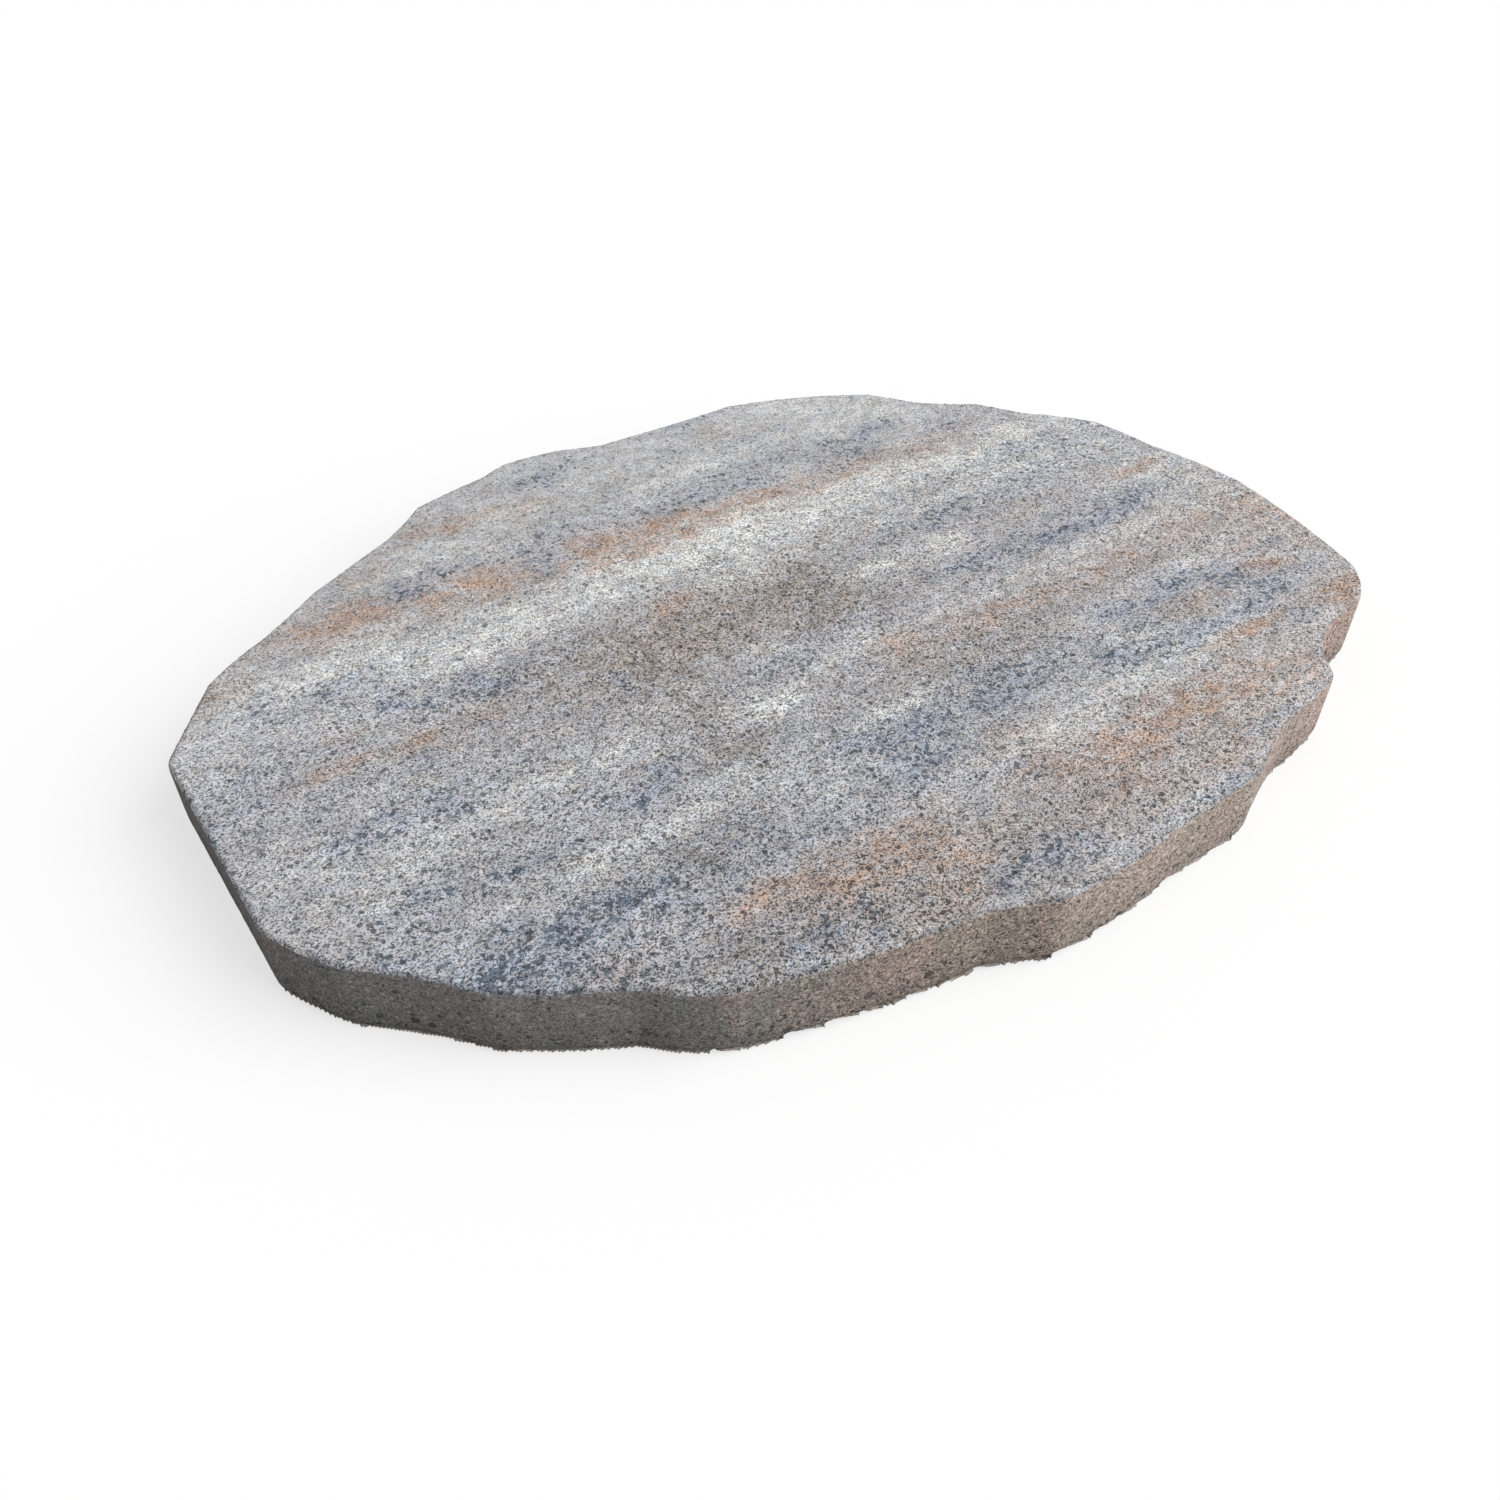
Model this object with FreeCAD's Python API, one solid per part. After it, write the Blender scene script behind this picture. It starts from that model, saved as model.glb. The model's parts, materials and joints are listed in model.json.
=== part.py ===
import FreeCAD, Part
import os

# Garden stepping stone, cast in one piece with an irregular, hewn-looking outline.
# Millimetres. The origin is the middle of the underside, +X runs along the length, +Z is up.

# Driving dimensions
LENGTH = 600.0
WIDTH = 450.0
THICKNESS = 40.0
CORNER_RADIUS = 12.0
TOP_ARRIS = 1.2
LARGE_FLAKE_LENGTH = 25.0
LARGE_FLAKE_HEIGHT = 5.0
SMALL_FLAKE_LENGTH = 16.0
SMALL_FLAKE_HEIGHT = 3.2
FLAKE_DEPTH_SHARE = 1.2

UP = FreeCAD.Vector(0, 0, 1)

# The edge is a ring of scallops, counter-clockwise from the left end. A row gives the corner
# where a scallop starts, in percent of half the length and of half the width, and the bow of
# its arc, in percent of the chord to the next corner: swelling is positive, hollow is negative.
SCALLOPS = [
    (-100.0, 31.5, 0.0),
    (-100.0, -23.0, 3.0),
    (-93.7, -38.8, -3.0),
    (-80.0, -58.3, 2.0),
    (-64.0, -72.0, 5.0),
    (-54.0, -82.5, 2.5),
    (-18.0, -93.5, -2.0),
    (-8.5, -99.4, 3.0),
    (15.0, -98.7, 0.0),
    (34.0, -97.8, -2.0),
    (49.0, -89.6, 3.0),
    (63.6, -86.2, -11.0),
    (76.5, -72.8, 2.0),
    (84.5, -71.8, 8.0),
    (93.3, -61.5, 2.5),
    (100.0, -19.6, 3.0),
    (96.6, 7.2, 2.5),
    (94.5, 25.4, 3.0),
    (84.7, 41.0, 0.0),
    (79.2, 52.9, -3.5),
    (68.3, 64.7, 0.0),
    (63.3, 74.7, 4.5),
    (34.3, 92.8, -1.0),
    (3.0, 94.2, 0.0),
    (-4.7, 98.1, 3.5),
    (-17.0, 100.0, 0.0),
    (-23.3, 97.0, 1.5),
    (-38.3, 92.9, -2.5),
    (-48.0, 83.0, 0.0),
    (-65.3, 71.7, -1.0),
    (-77.0, 61.2, 3.0),
    (-88.7, 51.8, 0.0),
]

# Flakes lost from the lower rim: where each one starts, in percent of the way round the ring.
LARGE_FLAKES = [20.1, 21.2, 27.4, 28.8, 31.6, 48.5, 55.0, 64.5, 71.0, 79.2, 88.9, 95.5]
SMALL_FLAKES = [
    18.3, 22.1, 23.4, 25.4, 29.7, 32.5, 33.6, 34.9, 36.2, 39.1, 41.6, 50.2, 53.0, 57.4,
    60.0, 62.3, 66.8, 69.0, 74.0, 76.5, 81.0, 84.2, 86.8, 91.0, 93.2, 98.0,
]


def corner(row):
    """Point of the outline where a scallop starts."""
    return FreeCAD.Vector(row[0] / 100 * LENGTH / 2, row[1] / 100 * WIDTH / 2, 0)


def scallop(row, next_row):
    """Edge of one scallop on the ground plane: an arc, or a line where it has no bow."""
    start = corner(row)
    end = corner(next_row)
    chord = end - start
    if row[2] == 0:
        return Part.LineSegment(start, end).toShape()
    crown = (start + end) / 2 + chord.cross(UP) * (row[2] / 100)
    return Part.Arc(start, crown, end).toShape()


def outline():
    """Ring of scallop edges, closed."""
    return [scallop(row, SCALLOPS[(n + 1) % len(SCALLOPS)]) for n, row in enumerate(SCALLOPS)]


def rounded(ring):
    """Outline with every scallop corner, proud or hollow, rounded by stepping out, in and out again."""
    for step in (CORNER_RADIUS, -2 * CORNER_RADIUS, CORNER_RADIUS):
        ring = ring.makeOffset2D(step)
    return ring


def top_rim(slab):
    """Edges that lie in the top face."""
    return [edge for edge in slab.Edges if edge.BoundBox.ZMin > THICKNESS / 2]


def cast_slab(edges):
    """Slab with upright walls, rounded scallop corners and a worn top arris."""
    slab = Part.Face(rounded(Part.Wire(edges))).extrude(UP * THICKNESS)
    return slab.makeChamfer(TOP_ARRIS, top_rim(slab))


def rim_place(edges, distance):
    """Point of the lower rim that far round the ring, and the way along the rim there."""
    for edge in edges:
        if distance <= edge.Length:
            break
        distance -= edge.Length
    at = edge.getParameterByLength(min(distance, edge.Length))
    return edge.valueAt(at), edge.tangentAt(at)


def flake(edges, percent, length, height):
    """Wedge that breaks one flake out of the lower rim. It bites all at once and runs out along the rim."""
    around = sum(edge.Length for edge in edges)
    distance = percent % 100 / 100 * around
    start, along = rim_place(edges, distance)
    end, _ = rim_place(edges, (distance + length) % around)
    outward = along.cross(UP)
    bevel = UP * height + outward * height * FLAKE_DEPTH_SHARE
    deep = start - outward * height * FLAKE_DEPTH_SHARE - bevel
    slope = Part.Face(Part.makePolygon([deep, deep + bevel * 3, end, deep]))
    return slope.extrude((outward - UP) * length)


def flakes(edges):
    """All the flakes of the lower rim."""
    large = [flake(edges, percent, LARGE_FLAKE_LENGTH, LARGE_FLAKE_HEIGHT) for percent in LARGE_FLAKES]
    small = [flake(edges, percent, SMALL_FLAKE_LENGTH, SMALL_FLAKE_HEIGHT) for percent in SMALL_FLAKES]
    return large + small


def stepping_stone():
    """Finished stone, standing on the ground plane."""
    edges = outline()
    return cast_slab(edges).cut(flakes(edges)).Solids[0]


os.makedirs("parts", exist_ok=True)
stepping_stone().exportStep("parts/stepping_stone.step")
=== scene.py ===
import json
import math
from contextlib import contextmanager

import bpy
import numpy as np
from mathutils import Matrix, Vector, noise

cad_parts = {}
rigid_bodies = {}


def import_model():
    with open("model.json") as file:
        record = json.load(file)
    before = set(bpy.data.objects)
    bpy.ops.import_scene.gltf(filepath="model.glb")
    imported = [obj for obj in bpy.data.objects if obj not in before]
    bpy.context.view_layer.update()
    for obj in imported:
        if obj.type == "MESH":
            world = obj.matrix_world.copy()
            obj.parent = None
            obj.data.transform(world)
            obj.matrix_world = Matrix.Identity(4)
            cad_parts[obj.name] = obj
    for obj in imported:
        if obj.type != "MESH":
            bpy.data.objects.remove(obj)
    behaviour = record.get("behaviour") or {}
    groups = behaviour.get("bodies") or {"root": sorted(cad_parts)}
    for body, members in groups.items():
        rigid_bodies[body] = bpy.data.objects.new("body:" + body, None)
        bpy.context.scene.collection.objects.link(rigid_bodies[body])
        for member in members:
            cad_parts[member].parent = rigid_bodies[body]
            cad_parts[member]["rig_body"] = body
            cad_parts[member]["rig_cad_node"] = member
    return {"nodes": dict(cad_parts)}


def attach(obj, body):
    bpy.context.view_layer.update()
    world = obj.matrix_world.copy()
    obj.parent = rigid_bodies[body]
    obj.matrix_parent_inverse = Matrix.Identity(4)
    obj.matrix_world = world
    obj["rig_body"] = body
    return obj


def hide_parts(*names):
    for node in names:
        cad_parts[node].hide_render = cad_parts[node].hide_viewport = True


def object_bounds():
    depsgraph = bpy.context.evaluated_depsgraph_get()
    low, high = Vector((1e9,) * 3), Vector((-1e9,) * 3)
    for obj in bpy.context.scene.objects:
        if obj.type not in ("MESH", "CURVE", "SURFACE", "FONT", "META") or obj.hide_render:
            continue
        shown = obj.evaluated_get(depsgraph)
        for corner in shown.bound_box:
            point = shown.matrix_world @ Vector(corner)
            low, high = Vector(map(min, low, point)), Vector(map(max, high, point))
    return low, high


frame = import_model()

bl_info = {
    "name": "Garden stepping stone",
    "version": (1, 0, 0),
    "blender": (4, 5, 0),
    "location": "View3D > Sidebar > Stepping stone",
    "description": "Gives the cast stepping stone its relief, its colour streaks and a plain studio",
    "category": "Object",
}

NODE = "stepping_stone"
BODY = "root"
CAD_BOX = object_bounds()
THICKNESS = CAD_BOX[1].z
MM = 0.001

# Places of the finishes in the stone's material list
TREAD, WALL, UNDERSIDE = range(3)

# How far up a face looks, from -1 to 1: a face of the tread looks up more than the first of these,
# a face of the underside less than the second, and a face of the arris between the last two.
TREAD_LOOKS = 0.3
UNDERSIDE_LOOKS = -0.75
ARRIS_LOOKS = (0.15, 0.95)

# Sizes of the lumps and hollows in the stone's relief
SWELL_SIZE = 28 * MM
GRAIN_SIZE = 4 * MM
CRUMB_SIZE = 2.6 * MM
RIM_CRUMB_SIZE = 7 * MM
PORE_SIZE = 2.6 * MM
BED_SIZE = 7 * MM

# Sizes of the grains, flecks and pores in the finishes, in millimetres
GRIT = 1.4
TREAD_SAND = 0.62
TREAD_FLECK = 2.0
TREAD_PIT = 3.0
WALL_SAND = 0.64
WALL_HOLE = 2.8
WALL_HOLLOW = 5.5
BED_GRIT = 2.2
BED_STAIN = 40.0

# Most that the flecks and the painted shade of the pores cover of the colour under them
FLECK_COVER = 0.75
TREAD_PIT_COVER = 0.8
WALL_HOLE_COVER = 0.85

# Stretches over which the finishes change, in millimetres: across the tread to its smoother side, along
# the wall from its painted shade to its warmer, lighter painted sunlit lengths and on to its redder
# lengths, and up the wall to its closer face.
SMOOTHER_SIDE = (40.0, 200.0)
WALL_PAINTED_SUN_WARMTH = (-200.0, -110.0)
WALL_PAINTED_LIGHT = (-110.0, 10.0)
REDDER_WALL = (110.0, 220.0)
COARSE_FOOT = (2.0, 28.0)
RAGGED_RIM = (0.0, 6.0)

# Pairs of filters between which patches and grains of the surfaces vary
PATCH_TINTS = ((0.965, 0.998, 1.045), (1.04, 1.0, 0.955))
GRAIN_TINTS = ((0.95, 1.005, 1.045), (1.055, 0.998, 0.94))
WALL_TINTS = ((0.975, 1.0, 0.98), (1.03, 0.985, 1.0))
WALL_END_TINTS = ((1, 1, 1), (1.13, 1.04, 1.05))

WHITE = (1, 1, 1, 1)

# Noise keeps close to its mean. The gain brings it out to about -1 to 1.
NOISE_MEAN = 0.5
NOISE_GAIN = 10

# How fast a streak of pigment fades away from its middle
STREAK_FADE = 0.75

# Start of the random shifts of the streaks. Without one they would follow the clock.
STREAK_SEED = 1

# Pigment drawn out along the stone's length as the mix was filled in, with one painted sheen among the
# pale streaks.
# Each streak gives its middle along and across the stone, half its length and half its width, in
# millimetres, and its strength.
STREAKS = {
    "umber": [
        (-60, 15, 55, 20, 0.7), (20, 20, 38, 17, 0.8), (-130, 35, 50, 13, 0.5),
        (15, -12, 27, 13, 0.8), (-85, -30, 16, 35, 0.55), (-80, -73, 10, 7, 0.9),
        (62, -15, 30, 10, 0.45), (45, 45, 40, 9, 0.45), (50, -70, 50, 14, 0.45),
        (60, -90, 50, 12, 0.5), (-130, -115, 40, 14, 0.4), (29, -137, 10, 8, 0.5),
        (-106, 180, 9, 6, 0.95), (170, -112, 25, 7, 0.4), (-120, -185, 40, 10, 0.4),
        (-200, 15, 30, 8, 0.35), (180, -75, 60, 8, 0.3), (165, 8, 30, 10, 0.35),
        (-30, -190, 25, 8, 0.35), (120, -200, 40, 10, 0.3), (270, -60, 30, 30, 0.2),
        (-50, 160, 60, 10, 0.25), (-20, -200, 90, 25, 0.3), (-120, -190, 60, 25, 0.35),
        (-70, -20, 90, 60, 0.16), (-115, 170, 60, 40, 0.22), (-160, -90, 170, 90, 0.1),
        (-220, -150, 70, 35, 0.25), (-150, -185, 70, 30, 0.25), (-120, 10, 60, 30, 0.1),
    ],
    "lime_and_sheen": [
        (-10, 78, 75, 18, 0.95), (50, 88, 40, 14, 0.9), (110, 80, 60, 14, 0.8),
        (225, 76, 20, 10, 1.0), (160, 72, 60, 10, 0.6), (-150, 80, 60, 18, 0.55),
        (-225, 95, 35, 11, 0.55), (-190, 108, 14, 6, 0.5), (-140, 65, 30, 8, 0.4),
        (-130, 158, 25, 12, 0.45), (-90, 162, 15, 8, 0.35), (32, 153, 25, 10, 0.45),
        (170, 150, 30, 25, 0.5), (140, 145, 12, 8, 0.4), (150, 185, 40, 15, 0.4),
        (0, 48, 26, 10, 0.5), (65, 5, 18, 9, 0.75), (109, 4, 12, 7, 0.6), (-225, -42, 30, 10, 0.3),
        (-270, -30, 20, 8, 0.25), (-140, -40, 30, 10, 0.45), (-180, -35, 20, 8, 0.3),
        (-50, -52, 16, 9, 0.9), (-30, -18, 12, 5, 0.5), (10, -40, 25, 8, 0.4),
        (120, -45, 60, 7, 0.45), (200, -45, 50, 7, 0.4), (-95, -92, 30, 7, 0.8),
        (-170, -97, 20, 6, 0.55), (-135, -98, 14, 5, 0.4), (0, -90, 25, 5, 0.7),
        (-90, -80, 14, 5, 0.5), (130, -140, 45, 8, 0.75), (80, -148, 40, 6, 0.5),
        (128, -119, 8, 8, 0.75), (20, -145, 40, 8, 0.4), (215, -85, 20, 8, 0.45),
        (-50, -115, 20, 8, 0.3), (61, -213, 14, 6, 0.65), (270, 65, 15, 15, 0.35),
        # The broad pale streak with its middle at 40, 175 is a painted sheen over the far side of the
        # tread.
        (-255, -60, 20, 10, 0.35), (40, 175, 220, 50, 0.35), (190, 50, 120, 22, 0.52),
        (270, 0, 40, 80, 0.25), (275, -75, 30, 45, 0.25), (-280, 85, 30, 30, 0.2),
        (175, -185, 80, 35, 0.3),
    ],
    "rust": [
        (-268, 105, 22, 11, 0.5), (-198, 128, 26, 12, 0.9), (-150, 122, 40, 10, 0.55),
        (-118, 120, 22, 10, 0.8), (-110, 104, 45, 8, 0.6), (-45, 112, 18, 14, 0.85),
        (-5, 112, 20, 10, 0.8), (-10, 97, 45, 7, 0.6), (50, 107, 35, 5, 0.8),
        (110, 100, 40, 10, 0.5), (180, 95, 30, 12, 0.4), (-106, 180, 12, 8, 0.6),
        (-133, 183, 14, 6, 0.45), (-172, 161, 14, 6, 0.45), (-85, 183, 12, 6, 0.4),
        (-60, 175, 12, 8, 0.35), (82, 182, 15, 10, 0.35), (-45, 41, 14, 7, 0.85),
        (-245, 21, 15, 5, 0.75), (-200, 17, 14, 6, 0.5), (-165, 17, 10, 5, 0.5),
        (-228, 40, 8, 5, 0.5), (255, 2, 18, 4, 0.75), (30, -55, 14, 10, 0.65),
        (75, -60, 25, 7, 0.5), (115, -62, 20, 6, 0.5), (160, -65, 40, 8, 0.35),
        (240, -60, 55, 12, 0.4), (285, -85, 12, 30, 0.5), (255, -95, 30, 12, 0.35),
        (237, -113, 12, 8, 0.95), (195, -112, 25, 8, 0.45), (190, -147, 22, 6, 0.8),
        (255, -148, 22, 8, 1.0), (170, -145, 14, 5, 0.5), (-125, -153, 22, 8, 0.65),
        (-90, -165, 22, 14, 0.85), (-55, -160, 25, 14, 0.6), (-40, -180, 20, 10, 0.5),
        (28, -165, 20, 12, 0.6), (75, -170, 35, 14, 0.7), (120, -168, 35, 14, 0.55),
        (165, -180, 40, 14, 0.55), (105, -205, 30, 8, 0.45), (40, -190, 25, 8, 0.45),
        (-194, -149, 12, 6, 0.5), (-58, -200, 15, 6, 0.5), (28, -138, 12, 6, 0.35),
        (-60, 10, 40, 16, 0.25), (150, -10, 120, 90, 0.08), (258, -150, 14, 8, 1.0),
        (20, -200, 60, 20, 0.2),
    ],
    "slate": [
        (-47, 193, 14, 8, 0.6), (-30, 205, 25, 10, 0.3), (75, 203, 25, 5, 0.5),
        (78, 164, 22, 8, 0.45), (35, 175, 15, 8, 0.3), (-157, 134, 14, 7, 0.9),
        (-130, 138, 25, 8, 0.4), (-83, 117, 12, 12, 0.7), (-60, 135, 20, 8, 0.35),
        (5, 128, 25, 5, 0.6), (47, 120, 25, 4, 0.5), (62, 125, 12, 8, 0.5), (30, 138, 60, 10, 0.35),
        (160, 130, 14, 7, 0.8), (130, 112, 20, 8, 0.6), (120, 130, 30, 8, 0.3),
        (199, 107, 20, 8, 0.4), (-245, 75, 25, 10, 0.35), (-215, 78, 12, 6, 0.5),
        (-195, 78, 10, 6, 0.5), (-199, 52, 10, 12, 0.6), (-175, 42, 25, 8, 0.5),
        (-155, 32, 8, 7, 0.9), (-140, 40, 30, 8, 0.35), (-212, 5, 14, 8, 0.45),
        (-252, -2, 10, 8, 0.4), (-270, 35, 25, 12, 0.4), (-285, 12, 15, 10, 0.45),
        (-100, 3, 6, 8, 0.5), (130, 27, 40, 9, 0.65), (200, 28, 45, 9, 0.4), (185, 60, 90, 8, 0.3),
        (250, 45, 40, 20, 0.3), (110, -18, 20, 7, 0.7), (160, -26, 30, 6, 0.75),
        (190, -28, 35, 5, 0.95), (230, -22, 22, 6, 0.85), (180, -12, 60, 5, 0.4),
        (-205, -28, 35, 8, 0.5), (-240, -25, 35, 10, 0.5), (-140, -72, 16, 6, 0.95),
        (-120, -63, 12, 5, 0.7), (-193, -81, 18, 5, 0.7), (-165, -58, 12, 5, 0.5),
        (-230, -70, 20, 8, 0.4), (-255, -95, 20, 15, 0.4), (-200, -125, 45, 8, 0.95),
        (-175, -120, 20, 7, 0.85), (-235, -130, 14, 8, 1.0), (-215, -108, 14, 6, 0.6),
        (-30, -102, 10, 5, 0.6), (-3, -106, 12, 8, 0.6), (-25, -122, 12, 8, 0.6),
        (-5, -125, 12, 7, 0.6), (37, -105, 14, 12, 0.8), (50, -115, 12, 10, 0.5),
        (70, -105, 25, 14, 0.5), (112, -121, 10, 9, 0.9), (140, -97, 12, 4, 0.6),
        (170, -96, 25, 5, 0.85), (142, -112, 12, 6, 0.4), (155, -131, 25, 6, 0.8),
        (210, -105, 12, 10, 0.75), (222, -124, 12, 10, 0.8), (195, -133, 20, 5, 0.7),
        (130, -125, 14, 8, 0.5), (213, -152, 8, 6, 0.5), (-120, -180, 30, 10, 0.5),
        (-95, -187, 12, 5, 0.6), (-30, -205, 16, 6, 0.9), (0, -208, 14, 8, 0.85),
        (-15, -195, 14, 5, 0.5), (19, -160, 8, 12, 0.4), (35, -187, 14, 5, 0.4),
        (70, -215, 20, 5, 0.6), (130, -200, 20, 5, 0.3), (200, -98, 15, 4, 0.6),
        (255, -100, 20, 4, 0.35), (-28, -30, 20, 8, 0.45), (20, -30, 25, 8, 0.35),
        (-110, -118, 25, 8, 0.3), (-60, -135, 40, 8, 0.4), (-130, -140, 20, 6, 0.35),
        (-230, -140, 60, 30, 0.4), (-40, -105, 45, 20, 0.34), (-150, -100, 100, 60, 0.12),
        (-230, -128, 14, 6, 1.0), (-215, -150, 30, 12, 0.6), (-3, -108, 16, 8, 0.6),
    ],
}

# Most that each pigment covers of the cement, laid on in this order
COVER = {"umber": 0.9, "lime_and_sheen": 0.85, "rust": 0.9, "slate": 0.6}


def length_property(name, description, default):
    """Property of one length, in metres."""
    return bpy.props.FloatProperty(name=name, description=description, default=default, unit="LENGTH")


def share_property(name, description, default):
    """Property of one share of a whole."""
    return bpy.props.FloatProperty(
        name=name, description=description, default=default, subtype="FACTOR", min=0, max=1
    )


def angle_property(name, description, degrees):
    """Property of one angle."""
    return bpy.props.FloatProperty(
        name=name, description=description, default=math.radians(degrees), subtype="ANGLE"
    )


def colour_property(name, description, default):
    """Property of one colour, as the surface reflects it."""
    return bpy.props.FloatVectorProperty(
        name=name, description=description, default=default, subtype="COLOR", size=3, min=0, max=1
    )


class StoneRelief(bpy.types.PropertyGroup):
    """Sizes of the relief that the casting leaves on the stone."""

    arris: length_property("Arris", "Width of the worn top edge", 1.2 * MM)
    swell: length_property("Swell", "Rise and fall of the tread", 0.5 * MM)
    grain: length_property("Grain", "Height of the grain on the tread", 1.1 * MM)
    crumb: length_property("Crumb", "Depth of the crumbs lost from the arris", 0.9 * MM)
    foot_height: length_property("Foot height", "Height of the coarse band of the wall", 14 * MM)
    foot_depth: length_property("Foot depth", "Depth of the pores in the coarse band", 0.8 * MM)
    rim_height: length_property("Rim height", "Height of the crumbled lower rim", 6 * MM)
    rim_depth: length_property("Rim depth", "Depth of the crumbs off the lower rim", 2.5 * MM)
    bed: length_property("Bed", "Depth of the pores in the underside", 1 * MM)


class StoneColours(bpy.types.PropertyGroup):
    """Colours of the concrete and of the pigments in it."""

    cement: colour_property("Cement", "Plain grey of the tread", (0.47, 0.47, 0.497))
    umber: colour_property("Umber", "Grey-brown pigment", (0.285, 0.255, 0.232))
    # Also the colour of a painted sheen over the far side of the tread.
    lime_and_sheen: colour_property("Lime", "Pale pigment", (0.74, 0.752, 0.738))
    rust: colour_property("Rust", "Red-brown pigment", (0.45, 0.32, 0.25))
    slate: colour_property("Slate", "Blue-grey veil of the dark pigment", (0.28, 0.33, 0.425))
    navy: colour_property("Navy", "Flecks of the dark pigment", (0.055, 0.085, 0.12))
    wall: colour_property("Wall", "Moulded face of the wall", (0.40, 0.335, 0.29))
    # Painted shade: the darker, greyer colour of the shaded end of the wall, also the stain colour of the
    # underside.
    wall_shade_and_stain: colour_property("Wall stain", "Greyer end of the wall", (0.285, 0.275, 0.267))
    # Painted shade inside the open pores and hollows.
    shaded_pore: colour_property("Pit", "Open pores and hollows", (0.05, 0.05, 0.055))


class StoneStage(bpy.types.PropertyGroup):
    """Floor, lamps and camera."""

    floor: length_property("Floor", "Side of the floor", 12)
    floor_bounce: share_property("Floor bounce", "Share of light that the floor throws back", 0.35)
    shadow_lift: share_property("Shadow lift", "How far the floor's shadow is lifted towards white", 0.65)
    fill: share_property("Fill", "Share of the light on the tread that comes from all round", 0.4)
    key_height: angle_property("Key height", "Height of the key light over the horizon", 38)
    key_bearing: angle_property("Key bearing", "Way to the key light, from the stone's length", -44)
    key_width: angle_property("Key width", "Width of the key light as the stone sees it", 60)
    lens: bpy.props.FloatProperty(name="Lens", description="Focal length on a 36 mm sensor", default=31.77)
    camera_place: bpy.props.FloatVectorProperty(
        name="Camera place", description="Where the camera stands", default=(-0.3379, -0.4466, 0.4445),
        subtype="TRANSLATION", unit="LENGTH",
    )
    camera_turn: bpy.props.FloatVectorProperty(
        name="Camera turn", description="Tilt from straight down, roll and bearing",
        default=(math.radians(48.286), 0, math.radians(-35)), subtype="EULER", unit="ROTATION",
    )


def only(piece):
    """Leaves one object selected and active."""
    bpy.ops.object.select_all(action="DESELECT")
    piece.select_set(True)
    bpy.context.view_layer.objects.active = piece


@contextmanager
def editing(piece, mode):
    """Edit mode on one piece with vertices, edges or faces to pick, left again at the end."""
    only(piece)
    kinds = ("VERT", "EDGE", "FACE")
    bpy.context.tool_settings.mesh_select_mode = [kind == mode for kind in kinds]
    bpy.ops.object.mode_set(mode="EDIT")
    yield
    bpy.ops.object.mode_set(mode="OBJECT")


def read(items, name, width=1):
    """One property of all of a mesh's items, as an array."""
    values = np.empty(len(items) * width)
    items.foreach_get(name, values)
    return values.reshape(-1, width) if width > 1 else values


def pick(piece, kind, wanted):
    """Marks the wanted vertices or faces, and nothing else, for the next edit."""
    mesh = piece.data
    for items in (mesh.vertices, mesh.edges, mesh.polygons):
        items.foreach_set("select", np.zeros(len(items), bool))
    getattr(mesh, kind).foreach_set("select", wanted)


def copy_of(node, name):
    """Loose copy of a CAD node with its corners joined up."""
    only(node)
    bpy.ops.object.duplicate()
    piece = bpy.context.view_layer.objects.active
    piece.name = name
    piece.data.name = name
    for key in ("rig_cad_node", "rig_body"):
        del piece[key]
    piece.parent = None
    piece.data.materials.clear()
    with editing(piece, "VERT"):
        bpy.ops.mesh.select_all(action="SELECT")
        bpy.ops.mesh.remove_doubles(threshold=0.001 * MM)
    return piece


def finish_modifier(piece, name, kind, **settings):
    """Adds a modifier and applies it."""
    only(piece)
    modifier = piece.modifiers.new(name, kind)
    for key, value in settings.items():
        setattr(modifier, key, value)
    bpy.ops.object.modifier_apply(modifier=name)


def sort_faces(piece):
    """Gives each face its place in the material list by the way it looks."""
    up = read(piece.data.polygons, "normal", 3)[:, 2]
    level = read(piece.data.polygons, "center", 3)[:, 2]
    kinds = np.full(len(up), WALL)
    kinds[(up > TREAD_LOOKS) & (level > THICKNESS / 2)] = TREAD
    kinds[up < UNDERSIDE_LOOKS] = UNDERSIDE
    piece.data.polygons.foreach_set("material_index", kinds)


def corners_of(piece, faces):
    """Whether each vertex is a corner of one of the faces."""
    mesh = piece.data
    sides = read(mesh.polygons, "loop_total").astype(int)
    corners = read(mesh.loops, "vertex_index").astype(int)
    found = np.zeros(len(mesh.vertices), bool)
    found[corners[np.repeat(faces, sides)]] = True
    return found


def thin_out(piece, faces, rim, times):
    """Wider faces where they lie flat, away from the rim of the patch."""
    pick(piece, "polygons", faces)
    with editing(piece, "FACE"):
        for _ in range(rim):
            bpy.ops.mesh.select_less()
        bpy.ops.mesh.unsubdivide(iterations=times)


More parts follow.
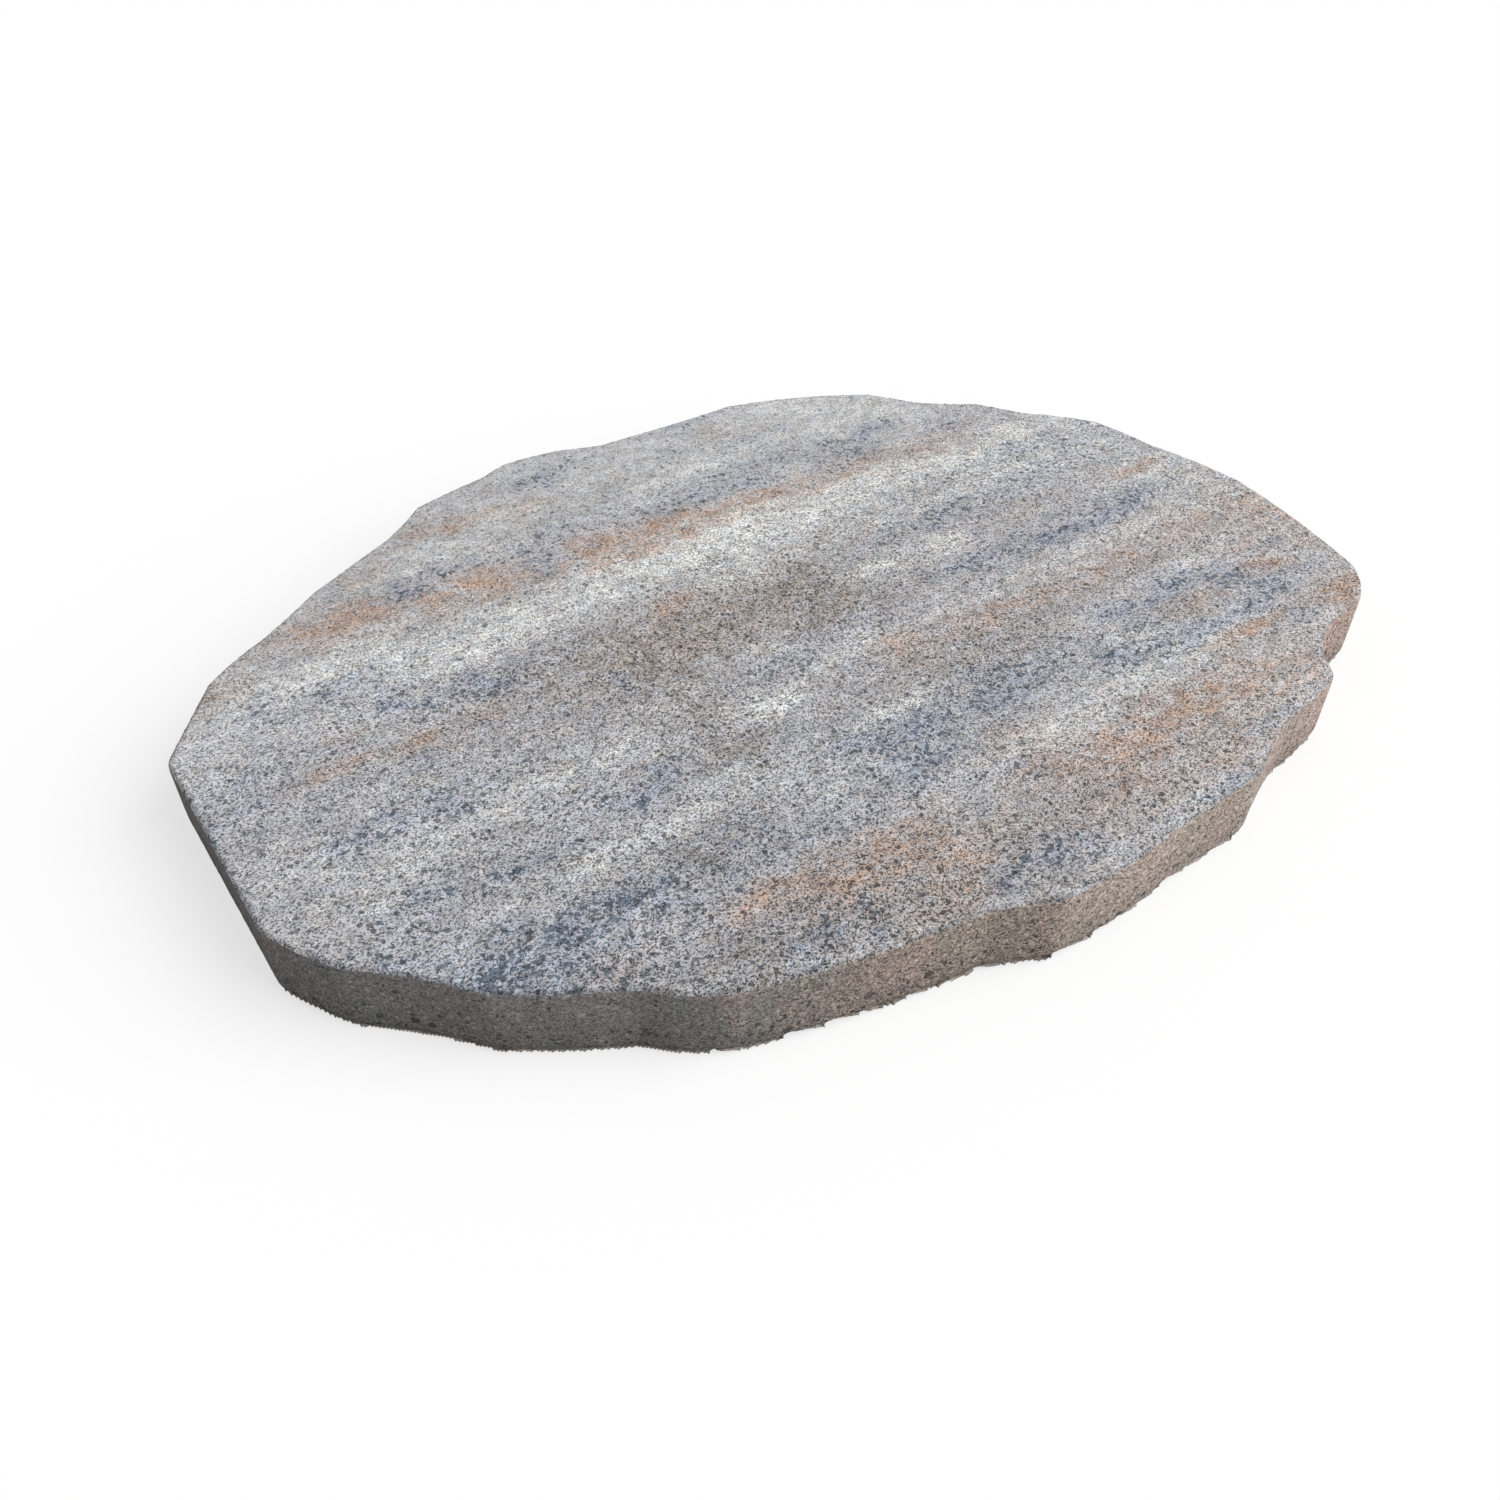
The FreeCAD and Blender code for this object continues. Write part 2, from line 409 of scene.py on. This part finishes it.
def even_mesh(piece, relief):
    """Even faces all over, small on the foot of the wall and along the rims, and wider elsewhere."""
    finish_modifier(piece, "even", "REMESH", mode="SHARP", octree_depth=9, scale=0.99, sharpness=1.0,
                    use_remove_disconnected=False)
    mesh = piece.data
    sort_faces(piece)
    thin_out(piece, read(mesh.polygons, "material_index") == TREAD, rim=3, times=2)
    thin_out(piece, read(mesh.polygons, "material_index") == UNDERSIDE, rim=3, times=4)
    level = read(mesh.polygons, "center", 3)[:, 2]
    plain = (level > relief.foot_height) & (level < THICKNESS - 2 * relief.arris)
    thin_out(piece, plain & (read(mesh.polygons, "material_index") == WALL), rim=1, times=2)
    pick(piece, "polygons", np.ones(len(mesh.polygons), bool))
    with editing(piece, "FACE"):
        bpy.ops.mesh.vert_connect_nonplanar(angle_limit=math.radians(8))
        bpy.ops.mesh.select_all(action="SELECT")
        bpy.ops.mesh.vert_connect_concave()
    sort_faces(piece)


def unwrap(piece):
    """One map for all faces, laid out while they are still flat."""
    piece.data.uv_layers.new(name="OFBake")
    pick(piece, "polygons", np.ones(len(piece.data.polygons), bool))
    with editing(piece, "FACE"):
        bpy.ops.uv.smart_project(angle_limit=math.radians(66), island_margin=0.004)


def weigh(piece, name, weights, steps=20):
    """Vertex group with the weights in even steps."""
    group = piece.vertex_groups.new(name=name)
    levels = np.round(np.clip(weights, 0, 1) * steps).astype(int)
    for level in range(1, steps + 1):
        group.add(np.flatnonzero(levels == level).tolist(), level / steps, "REPLACE")


def roughen(piece, name, group, depth, size, octaves=1, basis="ORIGINAL_PERLIN", level=0.5):
    """Pushes a group of vertices in and out by a cloudy pattern. At level 1 it only pushes them in."""
    texture = bpy.data.textures.new(name, "CLOUDS")
    texture.noise_scale = size
    texture.noise_basis = basis
    texture.noise_depth = octaves
    finish_modifier(piece, name, "DISPLACE", vertex_group=group, strength=depth, mid_level=level,
                    texture_coords="LOCAL", direction="NORMAL", texture=texture)


def cast_relief(piece, relief):
    """Relief of each face of the casting. It marks the vertices of the arris, for the tread's finish."""
    mesh = piece.data
    kinds = read(mesh.polygons, "material_index")
    up = read(mesh.polygons, "normal", 3)[:, 2]
    level = read(mesh.polygons, "center", 3)[:, 2]
    height = read(mesh.vertices, "co", 3)[:, 2]
    slanted = (up > ARRIS_LOOKS[0]) & (up < ARRIS_LOOKS[1]) & (level > THICKNESS - 2 * relief.arris)
    wall = corners_of(piece, kinds == WALL)
    arris = corners_of(piece, slanted)
    mesh.attributes.new("arris", "FLOAT", "POINT").data.foreach_set("value", arris.astype(float))
    weigh(piece, "tread", corners_of(piece, kinds == TREAD) & ~arris)
    weigh(piece, "edge", arris)
    weigh(piece, "foot", np.where(wall, 1 - height / relief.foot_height, 0))
    weigh(piece, "rim", np.where(wall, 1 - height / relief.rim_height, 0))
    weigh(piece, "bed", corners_of(piece, kinds == UNDERSIDE) & ~wall)
    pick(piece, "vertices", wall & (height < relief.rim_height))
    with editing(piece, "VERT"):
        bpy.ops.mesh.vertices_smooth(factor=0.5, repeat=3)
    roughen(piece, "swell", "tread", relief.swell, SWELL_SIZE)
    roughen(piece, "grain", "tread", relief.grain, GRAIN_SIZE, octaves=2)
    roughen(piece, "crumb", "edge", relief.crumb, CRUMB_SIZE, octaves=2, level=0.8)
    roughen(piece, "crumbs", "rim", relief.rim_depth, RIM_CRUMB_SIZE, basis="VORONOI_F2_F1", level=1)
    roughen(piece, "pores", "foot", relief.foot_depth, PORE_SIZE, octaves=2, level=1)
    roughen(piece, "bed", "bed", relief.bed, BED_SIZE, octaves=2, level=1)
    piece.vertex_groups.clear()
    pick(piece, "vertices", read(mesh.vertices, "co", 3)[:, 2] < 0)
    with editing(piece, "VERT"):
        bpy.ops.transform.resize(value=(1, 1, 0), center_override=(0, 0, 0))


def streak_strength(places, streaks):
    """How strongly a pigment's streaks colour each place, from 0 to 1."""
    found = np.zeros(len(places))
    for along, across, half_length, half_width, strength in streaks:
        u = (places[:, 0] - along * MM) / (half_length * MM)
        v = (places[:, 1] - across * MM) / (half_width * MM)
        found += (1 - found) * strength * np.exp(-STREAK_FADE * (u ** 2 + v ** 2))
    return found


def wandering(places, size, reach):
    """Smooth random shifts of the places, for edges that aren't drawn with a ruler."""
    return np.array([noise.noise_vector(Vector(place) / size) for place in places]) * reach


def paint_streaks(piece):
    """Strength of each pigment at each vertex, for the tread's material."""
    noise.seed_set(STREAK_SEED)
    places = read(piece.data.vertices, "co", 3)
    broad = wandering(places, size=45 * MM, reach=9 * MM) * (1, 0.5, 0)
    small = wandering(places, size=14 * MM, reach=4 * MM)
    places = places + broad + small
    for pigment, streaks in STREAKS.items():
        layer = piece.data.attributes.new(pigment, "FLOAT", "POINT")
        layer.data.foreach_set("value", streak_strength(places, streaks))


class Value:
    """A number in a material. An operator on it adds the Math node that works the result out."""

    def __init__(self, finish, socket):
        self.finish = finish
        self.socket = socket

    def also(self, name):
        """Another output of the same node."""
        return Value(self.finish, self.socket.node.outputs[name])

    def __add__(self, other):
        return self.finish.math("ADD", self, other)

    def __radd__(self, other):
        return self.finish.math("ADD", other, self)

    def __sub__(self, other):
        return self.finish.math("SUBTRACT", self, other)

    def __rsub__(self, other):
        return self.finish.math("SUBTRACT", other, self)

    def __mul__(self, other):
        return self.finish.math("MULTIPLY", self, other)

    def __rmul__(self, other):
        return self.finish.math("MULTIPLY", other, self)


class Finish:
    """A material's nodes."""

    def __init__(self, name, tree=None):
        if tree is None:
            self.material = bpy.data.materials.new(name)
            self.material.use_nodes = True
            tree = self.material.node_tree
        self.tree = tree
        self.tree.nodes.clear()

    def node(self, kind, settings=None, sockets=None, out=0):
        """Adds a node, sets it up, gives its sockets their values or links, and returns one output."""
        node = self.tree.nodes.new(kind)
        for key, value in (settings or {}).items():
            setattr(node, key, value)
        for key, value in (sockets or {}).items():
            if isinstance(value, Value):
                self.tree.links.new(value.socket, node.inputs[key])
            else:
                node.inputs[key].default_value = value
        return Value(self, node.outputs[out]) if node.outputs else node

    def math(self, operation, first, second):
        """Two numbers put together by one operation."""
        return self.node("ShaderNodeMath", {"operation": operation}, {0: first, 1: second})

    def place(self, stretch=(1, 1, 1), shift=0):
        """Place on the stone in millimetres, drawn out by the factors and shifted to a fresh pattern."""
        object_place = self.node("ShaderNodeTexCoord", out="Object")
        scale = [1 / MM / factor for factor in stretch]
        sockets = {"Vector": object_place, "Scale": scale, "Location": (shift,) * 3}
        return self.node("ShaderNodeMapping", {}, sockets)

    def clouds(self, place, size, detail, roughness):
        """Soft noise of that size, about 0.5 on average."""
        sockets = {"Vector": place, "Scale": 1 / size, "Detail": detail, "Roughness": roughness}
        return self.node("ShaderNodeTexNoise", {"noise_dimensions": "3D"}, sockets)

    def sway(self, size, stretch=1, upright=1, shift=0):
        """Noise of that size in millimetres, drawn out along or up the stone, mostly between -1 and 1."""
        place = self.place((stretch, 1, upright), shift)
        return (self.clouds(place, size, detail=3.0, roughness=0.55) - NOISE_MEAN) * NOISE_GAIN

    def grains(self, place, size):
        """Distance from the middle of a grain of that size, with a random colour for each grain."""
        sockets = {"Vector": place, "Scale": 1 / size}
        return self.node("ShaderNodeTexVoronoi", {"feature": "F1"}, sockets, out="Distance")

    def pores(self, size, share, ragged, shift):
        """Pores about that far apart in millimetres, open in a share of the places, with ragged edges."""
        cells = self.grains(self.place(shift=shift), size)
        # A pore reaches a quarter to nearly half of the way to the next one
        reach = 0.24 + 0.2 * self.lot(cells, "Green")
        inside = self.ease(reach - cells + 0.05 * ragged, -0.03, 0.03)
        opened = self.ease(share - self.lot(cells, "Red"), -0.02, 0.02)
        return inside * opened

    def lot(self, grains, channel):
        """Random number of each grain, evenly spread from 0 to 1."""
        return self.node("ShaderNodeSeparateColor", {}, {"Color": grains.also("Color")}, out=channel)

    def ease(self, value, low, high):
        """Smooth step from 0 at low to 1 at high."""
        sockets = {"Value": value, "From Min": low, "From Max": high}
        return self.node("ShaderNodeMapRange", {"interpolation_type": "SMOOTHSTEP"}, sockets)

    def blend(self, share, first, second):
        """Mix of two colours."""
        sockets = {0: share, 6: first, 7: second}
        return self.node("ShaderNodeMix", {"data_type": "RGBA"}, sockets, out=2)

    def shade(self, colour, brightness):
        """Colour made darker or lighter."""
        return self.node("ShaderNodeVectorMath", {"operation": "SCALE"}, {0: colour, "Scale": brightness})

    def tint(self, colour, share, first, second):
        """Colour under a filter between two tints."""
        filters = self.blend(share, opaque(first), opaque(second))
        return self.node("ShaderNodeVectorMath", {"operation": "MULTIPLY"}, {0: colour, 1: filters})

    def clip(self, value):
        """Value kept from 0 to 1."""
        return self.node("ShaderNodeClamp", {}, {"Value": value})

    def attribute(self, name):
        """Number that the mesh holds under that name."""
        return self.node("ShaderNodeAttribute", {"attribute_name": name}, out="Fac")

    def surface(self, colour, roughness, height):
        """Dull surface with a relief in millimetres."""
        bump = self.node("ShaderNodeBump", {}, {"Height": height, "Distance": MM})
        sockets = {"Base Color": colour, "Roughness": roughness, "Normal": bump}
        shader = self.node("ShaderNodeBsdfPrincipled", {}, sockets)
        self.node("ShaderNodeOutputMaterial", {}, {"Surface": shader})
        return self.material


def opaque(colour):
    """Three-part colour as a socket takes it."""
    return (*colour, 1)


def veiled(finish, colours):
    """Cement under the veils of pigment, each one with wisps and small breaks of its own. The pale veil
    also lays a painted sheen over the far side of the tread.
    """
    colour = opaque(colours.cement)
    for turn, (pigment, cover) in enumerate(COVER.items(), 1):
        wisp = finish.sway(6.0, stretch=1.5, shift=150 * turn)
        gap = finish.sway(2.4, shift=190 * turn)
        strength = finish.attribute(pigment) * (1.0 + 0.35 * wisp + 0.2 * gap) + 0.03 * wisp
        colour = finish.blend(finish.clip(strength) * cover, colour, opaque(getattr(colours, pigment)))
    return colour


def dark_flecks(finish):
    """Where lumps of the dark pigment show: in clusters in its own streaks, with ragged edges."""
    lumps = finish.grains(finish.place(shift=640), TREAD_FLECK)
    cluster = finish.sway(8.0, stretch=1.3, shift=600)
    flecks = finish.attribute("slate") * (0.42 + 0.25 * cluster) - finish.lot(lumps, "Red")
    flecks = flecks + 0.08 * finish.sway(1.6, shift=700) - 0.04
    return finish.ease(flecks, -0.03, 0.05)


def tread_colour(finish, colours, sand):
    """Colours of the tread before its grains are shaded: veils of pigment, dark flecks and tinted sand."""
    colour = finish.blend(dark_flecks(finish) * FLECK_COVER, veiled(finish, colours), opaque(colours.navy))
    warmth = 0.5 + 0.25 * finish.sway(9.0, stretch=1.6, shift=310)
    colour = finish.tint(colour, finish.clip(warmth), *PATCH_TINTS)
    return finish.tint(colour, finish.lot(sand, "Green"), *GRAIN_TINTS)


def tread_finish(colours):
    """Open granular face that the foot treads on, smoother on one side, with painted shade along the
    arris.
    """
    finish = Finish("tread")
    place = finish.place()
    across = finish.node("ShaderNodeSeparateXYZ", {}, {"Vector": place}, out="Y")
    umber = finish.attribute("umber")
    smooth = finish.ease(across, *SMOOTHER_SIDE)
    rough = (1 - 0.4 * smooth) * (0.86 + 0.2 * umber + 0.1 * finish.attribute("rust"))
    grit = finish.grains(place, GRIT)
    sand = finish.grains(place, TREAD_SAND)
    speckle = finish.sway(1.6)
    colour = tread_colour(finish, colours, sand)
    broad_mottle = 1.0 + 0.05 * finish.sway(26.0, stretch=3, shift=20)
    small_mottle = 0.07 * finish.sway(8.0, stretch=1.5, shift=30)
    mottle = broad_mottle + small_mottle + 0.04 * finish.sway(3.4, shift=40)
    dark = finish.ease(finish.lot(grit, "Red"), 0.11, 0.06)
    pale = finish.ease(finish.lot(grit, "Red"), 0.91, 0.95)
    light = finish.ease(finish.lot(sand, "Red"), -0.1, 0.8)
    grain = (1 + rough * (1.55 * light - 1.0)) * (1 + 0.15 * rough * (finish.lot(grit, "Blue") - 0.5))
    bright = 0.95 * mottle * grain * (1 - 0.3 * rough * dark) * (1 + 0.12 * rough * pale)
    # Painted shade darkens the arris.
    arris_painted_shade = 0.25 + 0.12 * finish.sway(14.0, shift=80)
    bright = bright * (1 - arris_painted_shade * finish.attribute("arris"))
    open_share = 0.1 + 0.07 * finish.sway(12.0, shift=55) + 0.2 * umber
    shaded_pore = finish.pores(TREAD_PIT, open_share, speckle, shift=50)
    colour = finish.shade(colour, bright)
    # Painted shade in the open pores of the tread.
    colour = finish.blend(shaded_pore * rough * TREAD_PIT_COVER, colour, opaque(colours.shaded_pore))
    height = 0.04 * speckle - 0.06 * grit - 0.22 * sand - 0.6 * shaded_pore
    return finish.surface(colour, roughness=0.85, height=height)


def wall_finish(colours):
    """Face that the mould stripped: sandy, drawn upright, and more open towards the foot, with painted
    shade on its greyer end and painted sunlight on its warmer, lighter end.
    """
    finish = Finish("wall")
    place = finish.place()
    along = finish.node("ShaderNodeSeparateXYZ", {}, {"Vector": place}, out="X")
    level = along.also("Z")
    coarse = 1 - finish.ease(level, *COARSE_FOOT)
    ragged = 1 - finish.ease(level, *RAGGED_RIM)
    band = finish.sway(24.0, upright=3)
    drag = finish.sway(2.5, upright=5)
    sand = finish.grains(place, WALL_SAND)
    grit = finish.grains(place, GRIT)
    wavy = along + 12 * band
    # Painted light along the wall: greyer and darker at the shaded end, warmer and lighter at the lit end.
    warmth = finish.ease(wavy, *WALL_PAINTED_SUN_WARMTH)
    painted_light = finish.ease(wavy, *WALL_PAINTED_LIGHT)
    colour = finish.blend(warmth, opaque(colours.wall_shade_and_stain), opaque(colours.wall))
    colour = finish.tint(colour, finish.ease(band, -1.5, 1.5), *WALL_TINTS)
    colour = finish.tint(colour, finish.ease(along, *REDDER_WALL), *WALL_END_TINTS)
    pale = finish.ease(finish.lot(grit, "Red"), 0.92, 0.97)
    dark = finish.ease(finish.lot(grit, "Red"), 0.1, 0.05)
    # The sand shows more strongly along the painted sunlit length.
    sandy = (finish.lot(sand, "Red") - 0.5) * (1.15 + 0.5 * warmth)
    gritty = (finish.lot(grit, "Blue") - 0.5) * 0.25 * coarse
    bright = 1.0 + 0.02 * drag + 0.02 * band + (sandy + gritty) + 0.6 * pale - 0.25 * dark
    # Painted shade: darker towards the shaded end of the wall, and darker towards the foot.
    bright = bright * (0.78 + 0.22 * painted_light) * (1 - 0.2 * coarse)
    speckle = finish.sway(1.6, shift=65)
    hole = finish.pores(WALL_HOLE, 0.06 + 0.25 * coarse, speckle, shift=70)
    # Along the crumbled lower rim the dark hollows are painted shadow under the crumbs.
    shaded_hollow = finish.pores(WALL_HOLLOW, 0.1 * coarse + 0.6 * ragged, speckle, shift=75)
    hole = finish.clip(hole + shaded_hollow)
    # Painted shade in the pores and hollows of the wall.
    colour = finish.blend(hole * WALL_HOLE_COVER, finish.shade(colour, bright), opaque(colours.shaded_pore))
    height = 0.02 * drag - 0.15 * sand - grit * (0.05 + 0.2 * coarse) - 0.5 * hole
    return finish.surface(colour, roughness=0.9, height=height)


def bed_finish(colours):
    """Rough underside, as it left the filling machine."""
    finish = Finish("bed")
    place = finish.place()
    grit = finish.grains(place, BED_GRIT)
    stain = finish.clouds(place, BED_STAIN, detail=4.0, roughness=0.5)
    colour = finish.blend(finish.ease(stain, 0.3, 0.7), opaque(colours.wall), opaque(colours.wall_shade_and_stain))
    bright = 0.75 + 0.5 * finish.lot(grit, "Red")
    return finish.surface(finish.shade(colour, bright), roughness=0.95, height=0.7 * (1 - grit))


class STONE_OT_cast(bpy.types.Operator):
    """Casts the stone over its CAD solid, with the relief of its tread, wall, foot and underside"""

    bl_idname = "stepping_stone.cast"
    bl_label = "Cast stone"

    def execute(self, context):
        relief = context.scene.stone_relief
        stone = copy_of(frame["nodes"][NODE], "cast_stone")
        even_mesh(stone, relief)
        unwrap(stone)
        cast_relief(stone, relief)
        only(stone)
        bpy.ops.object.shade_smooth_by_angle(angle=math.radians(30))
        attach(stone, BODY)
        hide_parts(NODE)
        return {"FINISHED"}


class STONE_OT_colour(bpy.types.Operator):
    """Streaks the stone with its pigments and gives each face its finish"""

    bl_idname = "stepping_stone.colour"
    bl_label = "Colour stone"

    def execute(self, context):
        colours = context.scene.stone_colours
        stone = bpy.data.objects["cast_stone"]
        paint_streaks(stone)
        kinds = read(stone.data.polygons, "material_index").astype(int)
        for finish in (tread_finish, wall_finish, bed_finish):
            stone.data.materials.append(finish(colours))
        stone.data.polygons.foreach_set("material_index", kinds)
        return {"FINISHED"}


def make_floor(stage):
    """Pale floor that shows white to the camera and throws little light back."""
    bpy.ops.mesh.primitive_plane_add(size=stage.floor)
    floor = bpy.context.view_layer.objects.active
    floor.name = "floor"
    finish = Finish("floor")
    seen = finish.node("ShaderNodeLightPath", out="Is Camera Ray")
    bounce = opaque((stage.floor_bounce,) * 3)
    colour = finish.blend(seen, bounce, WHITE)
    paint = finish.node("ShaderNodeBsdfDiffuse", {}, {"Color": colour})
    glow = finish.node("ShaderNodeEmission", {}, {"Color": WHITE, "Strength": 1.0})
    shader = finish.node("ShaderNodeMixShader", {}, {0: seen * stage.shadow_lift, 1: paint, 2: glow})
    finish.node("ShaderNodeOutputMaterial", {}, {"Surface": shader})
    floor.data.materials.append(finish.material)


def make_light(stage):
    """Even light from all round and a broad key from one side, which make white of a white floor."""
    world = bpy.data.worlds.new("studio")
    bpy.context.scene.world = world
    world.use_nodes = True
    finish = Finish("studio", world.node_tree)
    seen = finish.node("ShaderNodeLightPath", out="Is Camera Ray")
    strength = seen * (1 - stage.fill) + stage.fill
    shader = finish.node("ShaderNodeBackground", {}, {"Color": WHITE, "Strength": strength})
    finish.node("ShaderNodeOutputWorld", {}, {"Surface": shader})
    turn = (math.pi / 2 - stage.key_height, 0, stage.key_bearing + math.pi / 2)
    bpy.ops.object.light_add(type="SUN", rotation=turn)
    key = bpy.context.view_layer.objects.active
    key.name = "key"
    key.data.energy = (1 - stage.fill) * math.pi / math.sin(stage.key_height)
    key.data.angle = stage.key_width


def make_camera(stage):
    """Camera at the viewing angle that the stone was drawn from."""
    bpy.ops.object.camera_add(location=stage.camera_place, rotation=stage.camera_turn)
    camera = bpy.context.view_layer.objects.active
    camera.name = "camera"
    camera.data.lens = stage.lens
    bpy.context.scene.camera = camera


class STONE_OT_stage(bpy.types.Operator):
    """Sets up the floor, the light and the camera"""

    bl_idname = "stepping_stone.stage"
    bl_label = "Set stage"

    def execute(self, context):
        stage = context.scene.stone_stage
        make_floor(stage)
        make_light(stage)
        make_camera(stage)
        context.scene.view_settings.view_transform = "Standard"
        return {"FINISHED"}


class STONE_PT_panel(bpy.types.Panel):
    """Settings and steps of the stepping stone"""

    bl_idname = "STONE_PT_panel"
    bl_label = "Stepping stone"
    bl_space_type = "VIEW_3D"
    bl_region_type = "UI"
    bl_category = "Stepping stone"

    def draw(self, context):
        for operator, group in STEPS:
            settings = getattr(context.scene, group)
            box = self.layout.box()
            for name in settings.__annotations__:
                box.prop(settings, name)
            box.operator(operator.bl_idname)


STEPS = (
    (STONE_OT_cast, "stone_relief"),
    (STONE_OT_colour, "stone_colours"),
    (STONE_OT_stage, "stone_stage"),
)
GROUPS = {"stone_relief": StoneRelief, "stone_colours": StoneColours, "stone_stage": StoneStage}
CLASSES = (*GROUPS.values(), STONE_OT_cast, STONE_OT_colour, STONE_OT_stage, STONE_PT_panel)


def register():
    for cls in CLASSES:
        bpy.utils.register_class(cls)
    for name, group in GROUPS.items():
        setattr(bpy.types.Scene, name, bpy.props.PointerProperty(type=group))


def unregister():
    for name in GROUPS:
        delattr(bpy.types.Scene, name)
    for cls in reversed(CLASSES):
        bpy.utils.unregister_class(cls)


def main():
    register()
    bpy.ops.stepping_stone.cast()
    bpy.ops.stepping_stone.colour()
    bpy.ops.stepping_stone.stage()


if __name__ == "__main__":
    main()
